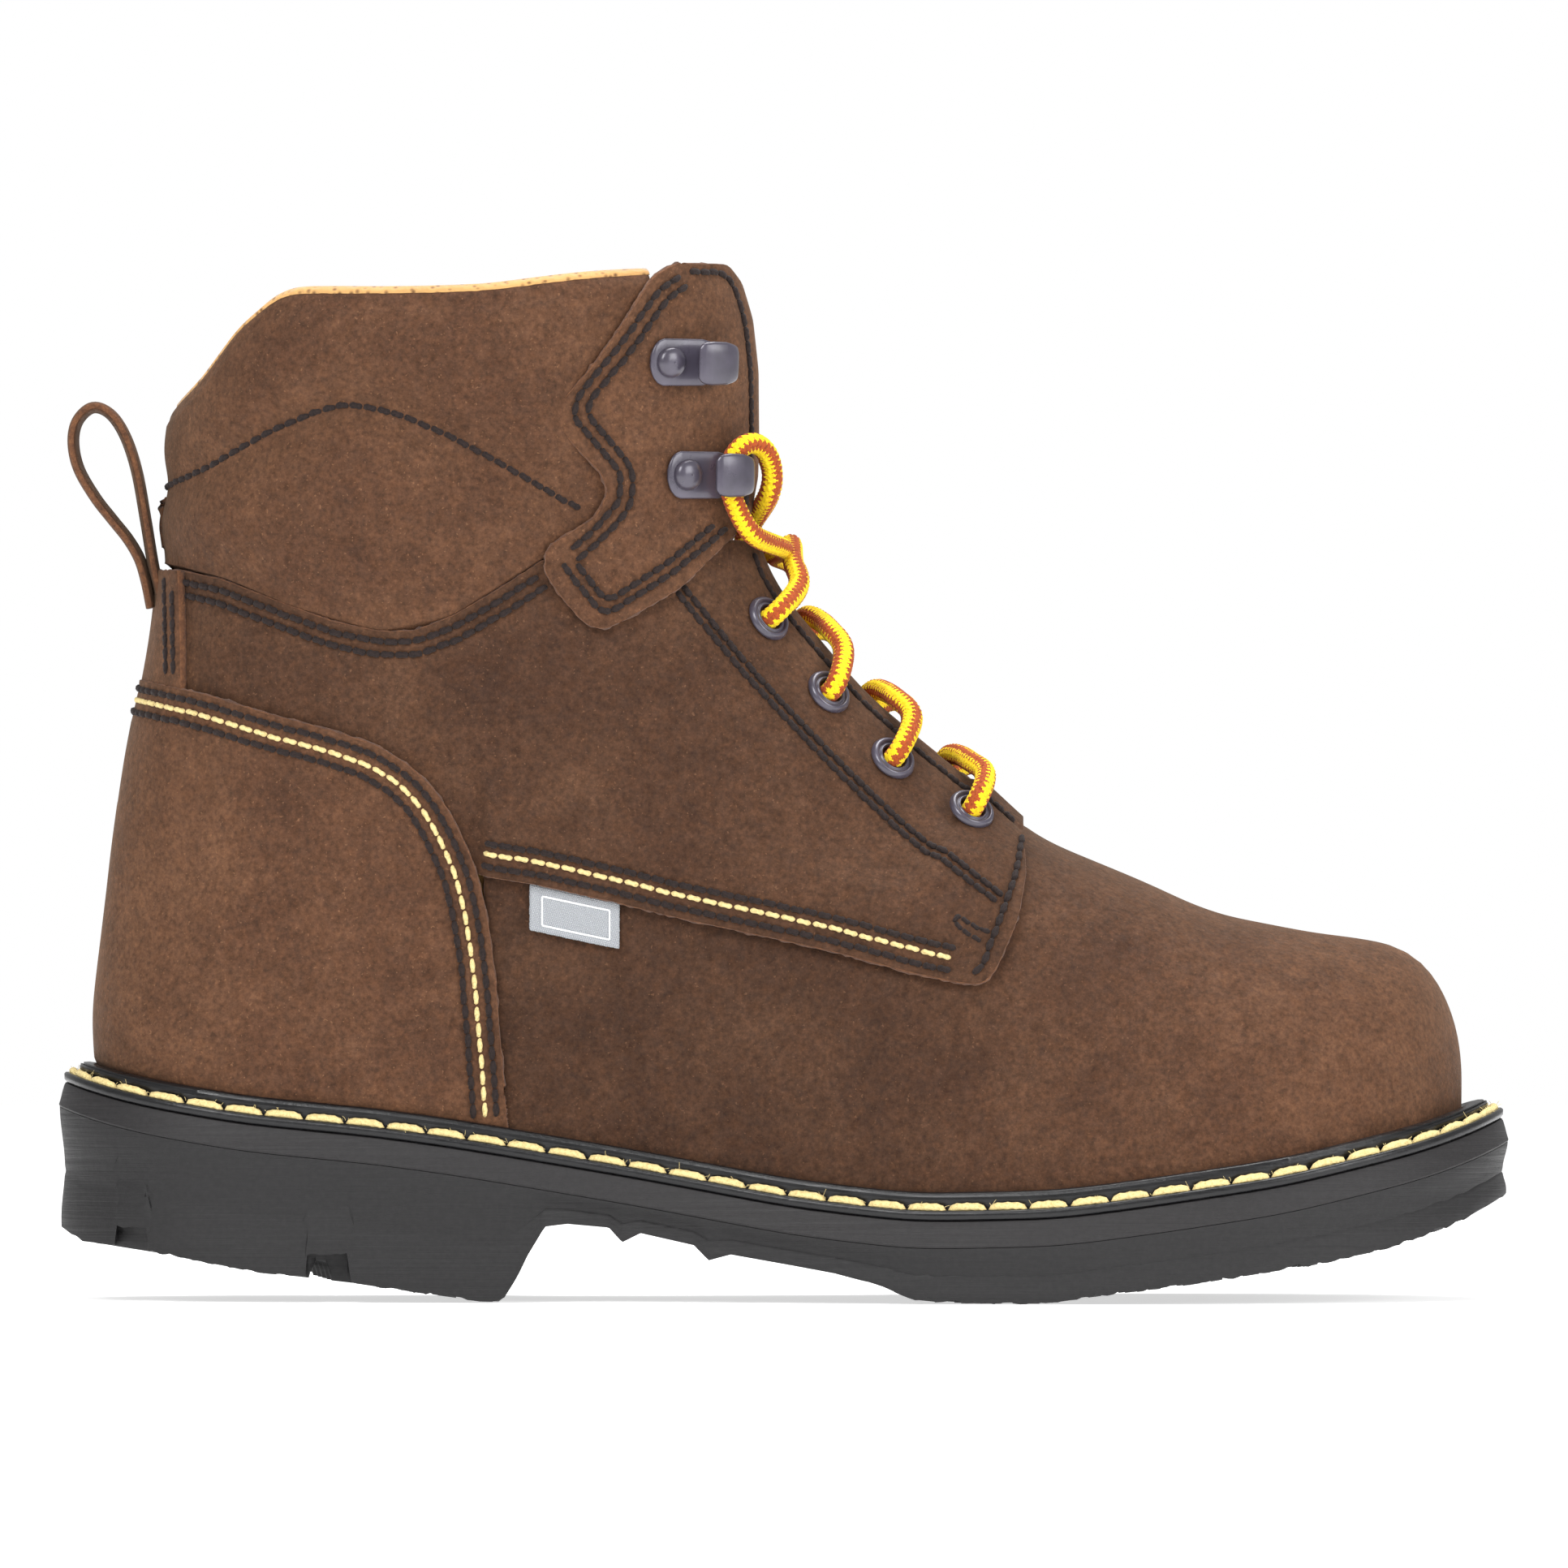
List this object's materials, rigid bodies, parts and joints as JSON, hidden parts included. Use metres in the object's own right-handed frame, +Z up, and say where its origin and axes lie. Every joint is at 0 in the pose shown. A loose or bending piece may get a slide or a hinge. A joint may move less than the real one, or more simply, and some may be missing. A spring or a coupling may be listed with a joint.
{
  "type": "steel toe work boot",
  "caption": "Ankle-high leather work boot with welted sole, steel toe cap, padded collar, laced front with speed hooks, pull loop.",
  "frame": {"origin": "on the ground, in the middle of the outsole's length and width", "axes": "+X to the toe, +Z up, the lateral side of this right boot faces -Y"},
  "size_m": [0.318, 0.1119, 0.2269],
  "materials": {
    "sole_rubber": "buffed",
    "welt_rubber": "glossy",
    "leather": "nubuck",
    "lining_cloth": "mesh",
    "foam": "open cell",
    "steel": "pressed",
    "enamel": "gloss",
    "cork": "granular",
    "board": "pressed fibre",
    "thread": "twisted",
    "lace_braid": "braided",
    "tag_cloth": "woven"
  },
  "bodies": {
    "boot": {"outsole": "sole_rubber", "midsole": "sole_rubber", "welt": "welt_rubber", "welt_thread": "thread", "cork_filler": "cork", "steel_shank": "steel", "gemming_rib": "board", "insole_board": "board", "footbed": "foam", "steel_toe_cap": "steel", "cap_edge_strip": "welt_rubber", "heel_counter": "board", "vamp": "leather", "quarter_lateral": "leather", "quarter_medial": "leather", "heel_foxing": "leather", "backstay": "leather", "collar_panel": "leather", "collar_foam": "foam", "collar_lining": "lining_cloth", "shaft_lining": "lining_cloth", "vamp_lining": "lining_cloth", "gusset_lateral": "leather", "gusset_medial": "leather", "hook_stay_lateral": "leather", "hook_stay_medial": "leather", "eyelets": "enamel", "lace_hooks": "enamel", "hook_rivets": "enamel", "lace": "lace_braid"},
    "tongue": {"tongue": "leather", "tongue_pad": "foam", "tongue_lining": "lining_cloth"},
    "pull_loop": {"pull_loop": "leather"},
    "label_tag": {"label_tag": "tag_cloth"}
  },
  "joints": [
    {"name": "tongue_flex", "type": "hinge", "parent": "boot", "child": "tongue", "pos_m": [0.044, 0, 0.101], "axis": [0, 1, 0], "range_deg": [-16, 0], "stiffness_Nm_per_rad": 0.6, "springref_deg": 6.88},
    {"name": "pull_loop_flex", "type": "hinge", "parent": "boot", "child": "pull_loop", "pos_m": [-0.1378, 0, 0.1585], "axis": [0, 1, 0], "range_deg": [-60, 0], "stiffness_Nm_per_rad": 0.02, "springref_deg": 11.46},
    {"name": "tag_flap", "type": "hinge", "parent": "boot", "child": "label_tag", "pos_m": [-0.0456, -0.0363, 0.0883], "axis": [-0.9799, 0, 0.1994], "range_deg": [0, 100], "stiffness_Nm_per_rad": 0.00005, "springref_deg": 5.73}
  ]
}
